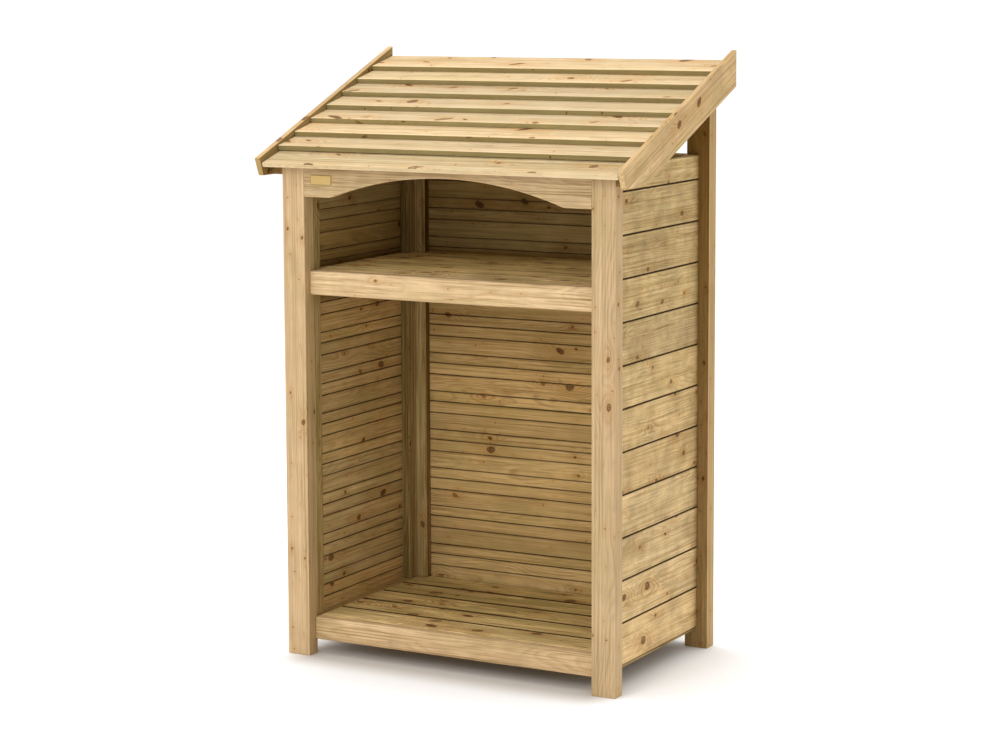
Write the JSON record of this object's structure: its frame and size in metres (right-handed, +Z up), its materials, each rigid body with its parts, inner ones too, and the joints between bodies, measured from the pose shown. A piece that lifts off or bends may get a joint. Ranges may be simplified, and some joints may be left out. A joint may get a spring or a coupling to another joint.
{
  "type": "log store",
  "caption": "Open-fronted timber log store with boarded sides and back, slatted floor, kindling shelf, arched lintel and a pent roof of lapped boards.",
  "frame": {"origin": "ground level, under the middle of the outline from the bargeboard ends to the roof's rear", "axes": "+Z up, +Y from the open front to the back wall, +X to the right seen from the front"},
  "size_m": [1.2, 0.7624, 1.8002],
  "materials": {
    "post_timber": "pressure-treated softwood, sawn and planed, uncoated",
    "rail_timber": "pressure-treated softwood, sawn and planed, uncoated",
    "trim_timber": "pressure-treated softwood, sawn and planed, uncoated",
    "roof_timber": "pressure-treated softwood, sawn and planed, uncoated",
    "wall_timber": "pressure-treated softwood, sawn and planed, uncoated",
    "batten_timber": "pressure-treated softwood, sawn and planed, uncoated",
    "floor_timber": "pressure-treated softwood, sawn and planed, uncoated",
    "shelf_timber": "pressure-treated softwood, sawn and planed, uncoated"
  },
  "bodies": {
    "root": {"front_left_post": "post_timber", "front_right_post": "post_timber", "rear_left_post": "post_timber", "rear_right_post": "post_timber", "front_lintel": "rail_timber", "rear_top_rail": "rail_timber", "floor_front_rail": "rail_timber", "floor_rear_rail": "rail_timber", "shelf_front_rail": "rail_timber", "left_bargeboard": "trim_timber", "right_bargeboard": "trim_timber", "left_rafter": "trim_timber", "right_rafter": "trim_timber", "roof_board_1": "roof_timber", "roof_board_2": "roof_timber", "roof_board_3": "roof_timber", "roof_board_4": "roof_timber", "roof_board_5": "roof_timber", "roof_board_6": "roof_timber", "roof_board_7": "roof_timber", "roof_board_8": "roof_timber", "left_wall": "wall_timber", "right_wall": "wall_timber", "back_wall": "wall_timber", "left_front_batten": "batten_timber", "left_rear_batten": "batten_timber", "right_front_batten": "batten_timber", "right_rear_batten": "batten_timber", "back_left_batten": "batten_timber", "back_right_batten": "batten_timber", "left_floor_bearer": "batten_timber", "right_floor_bearer": "batten_timber", "left_shelf_cleat": "batten_timber", "right_shelf_cleat": "batten_timber", "rear_shelf_cleat": "batten_timber", "floor_board_1": "floor_timber", "floor_board_2": "floor_timber", "floor_board_3": "floor_timber", "floor_board_4": "floor_timber", "floor_board_5": "floor_timber", "shelf_board_1": "shelf_timber", "shelf_board_2": "shelf_timber", "shelf_board_3": "shelf_timber", "shelf_board_4": "shelf_timber", "shelf_board_5": "shelf_timber"}
  },
  "joints": []
}
